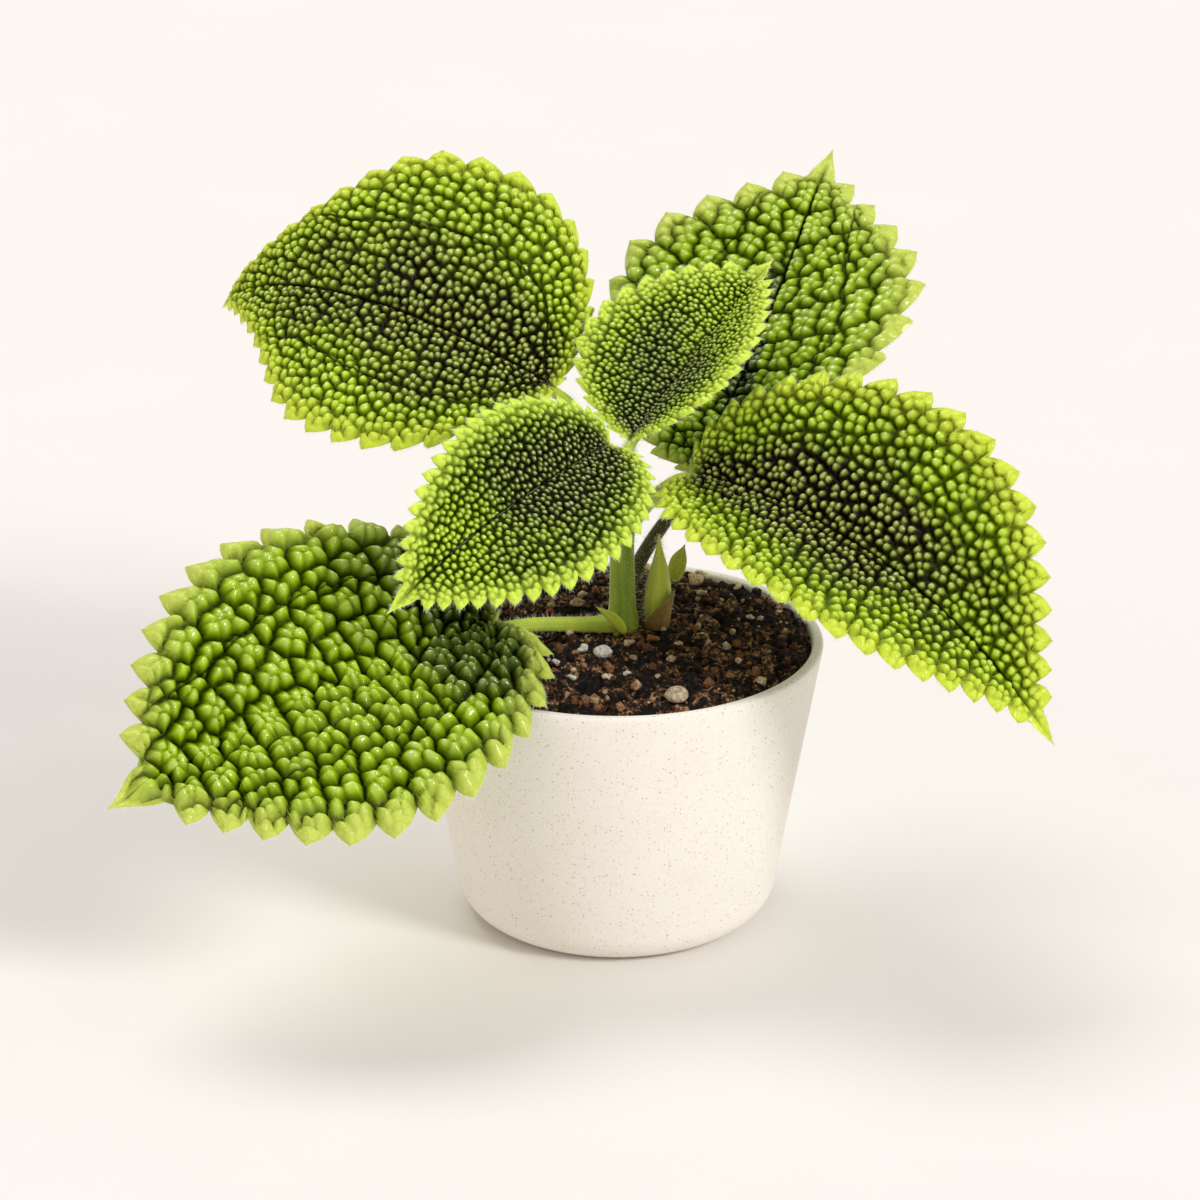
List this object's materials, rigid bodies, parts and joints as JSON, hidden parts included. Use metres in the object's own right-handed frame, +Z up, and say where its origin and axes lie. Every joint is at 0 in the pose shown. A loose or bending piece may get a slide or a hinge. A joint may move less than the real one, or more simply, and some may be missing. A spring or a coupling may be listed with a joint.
{
  "type": "potted pilea",
  "caption": "Small house plant with quilted, toothed oval leaves on one fleshy stem, growing in dark soil in a round tapered pot.",
  "frame": {"origin": "centre of the pot's flat underside, on the surface that the pot stands on", "axes": "+Z up along the pot's axis, +X to the right and -Y towards a viewer in front, with the lowest leaf at front left"},
  "size_m": [0.1746, 0.1371, 0.1355],
  "materials": {
    "pot": "matte",
    "soil": "matte",
    "leaf": "satin",
    "stalk": "satin",
    "bract": "matte",
    "grit": "matte"
  },
  "bodies": {
    "root": {"pot": "pot", "soil": "soil", "stem": "stalk", "leaf_back_left": "leaf", "leaf_back_right": "leaf", "leaf_top_back": "leaf", "leaf_top_front": "leaf", "leaf_right": "leaf", "leaf_front_left": "leaf", "petiole_back_left": "stalk", "petiole_back_right": "stalk", "petiole_top_back": "stalk", "petiole_top_front": "stalk", "petiole_right": "stalk", "petiole_front_left": "stalk", "shoot": "stalk", "shoot_bract": "bract", "shoot_leaflet": "stalk", "stipule_low": "stalk", "stipule_top": "stalk", "pebble": "grit", "perlite_1": "grit", "perlite_2": "grit", "perlite_3": "grit", "perlite_4": "grit", "perlite_5": "grit", "perlite_6": "grit", "perlite_7": "grit", "perlite_8": "grit", "perlite_9": "grit", "perlite_10": "grit", "perlite_11": "grit", "perlite_12": "grit", "perlite_13": "grit", "perlite_14": "grit", "perlite_15": "grit"}
  },
  "joints": []
}
